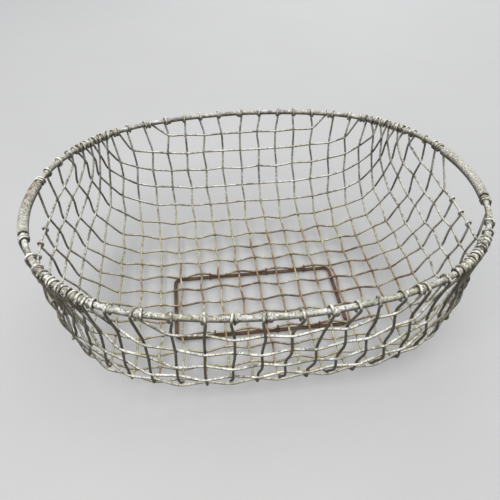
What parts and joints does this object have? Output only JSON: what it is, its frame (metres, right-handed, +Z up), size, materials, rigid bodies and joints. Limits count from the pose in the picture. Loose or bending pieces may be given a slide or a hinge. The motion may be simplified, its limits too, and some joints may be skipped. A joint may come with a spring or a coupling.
{
  "type": "wire gathering basket",
  "caption": "Rigid oval gathering basket: a deep bowl of woven galvanised wire coiled onto a heavy rod rim, with a loose tube grip over an open handhold at each end.",
  "frame": {"origin": "on the ground under the middle of the oval", "axes": "+X along the oval from the left grip to the right grip, +Y to the back, +Z up"},
  "size_m": [0.587, 0.459, 0.197],
  "materials": {
    "mesh_wire": "weathered galvanised wire with light rust",
    "rim_rod": "weathered galvanised rod",
    "grip_tube": "dull weathered galvanised tube",
    "base_rod": "rusted bare rod",
    "tie_wire": "rusted thin wire"
  },
  "bodies": {
    "basket": {"rim": "rim_rod", "base_frame": "base_rod", "cross_wire_01": "mesh_wire", "cross_wire_02": "mesh_wire", "cross_wire_03": "mesh_wire", "cross_wire_04": "mesh_wire", "cross_wire_05": "mesh_wire", "cross_wire_06": "mesh_wire", "cross_wire_07": "mesh_wire", "cross_wire_08": "mesh_wire", "cross_wire_09": "mesh_wire", "cross_wire_10": "mesh_wire", "cross_wire_11": "mesh_wire", "cross_wire_12": "mesh_wire", "cross_wire_13": "mesh_wire", "cross_wire_14": "mesh_wire", "cross_wire_15": "mesh_wire", "cross_wire_16": "mesh_wire", "cross_wire_17": "mesh_wire", "cross_wire_18": "mesh_wire", "cross_wire_19": "mesh_wire", "cross_wire_20": "mesh_wire", "cross_wire_21": "mesh_wire", "cross_wire_22": "mesh_wire", "cross_wire_23": "mesh_wire", "cross_wire_24": "mesh_wire", "cross_wire_25": "mesh_wire", "long_wire_01": "mesh_wire", "long_wire_02": "mesh_wire", "long_wire_03": "mesh_wire", "long_wire_04": "mesh_wire", "long_wire_05": "mesh_wire", "long_wire_06": "mesh_wire", "long_wire_07": "mesh_wire", "long_wire_08": "mesh_wire", "long_wire_09": "mesh_wire", "long_wire_10": "mesh_wire", "long_wire_11": "mesh_wire", "long_wire_12": "mesh_wire", "long_wire_13": "mesh_wire", "long_wire_14": "mesh_wire", "long_wire_15": "mesh_wire", "long_wire_16": "mesh_wire", "long_wire_17": "mesh_wire", "long_wire_18": "mesh_wire", "long_wire_19": "mesh_wire", "long_wire_20": "mesh_wire", "long_wire_21": "mesh_wire", "long_wire_22": "mesh_wire", "frame_tie_1": "tie_wire", "frame_tie_2": "tie_wire", "frame_tie_3": "tie_wire", "frame_tie_4": "tie_wire", "frame_tie_5": "tie_wire", "frame_tie_6": "tie_wire"},
    "left_grip": {"grip_left": "grip_tube"},
    "right_grip": {"grip_right": "grip_tube"}
  },
  "joints": [
    {"name": "left_grip_slide", "type": "hinge", "parent": "basket", "child": "left_grip", "pos_m": [-0.047, 0, 0.19], "axis": [0, 0, 1], "range_deg": [-0.59, 0.59]},
    {"name": "right_grip_slide", "type": "hinge", "parent": "basket", "child": "right_grip", "pos_m": [0.047, 0, 0.19], "axis": [0, 0, 1], "range_deg": [-0.59, 0.59]}
  ]
}
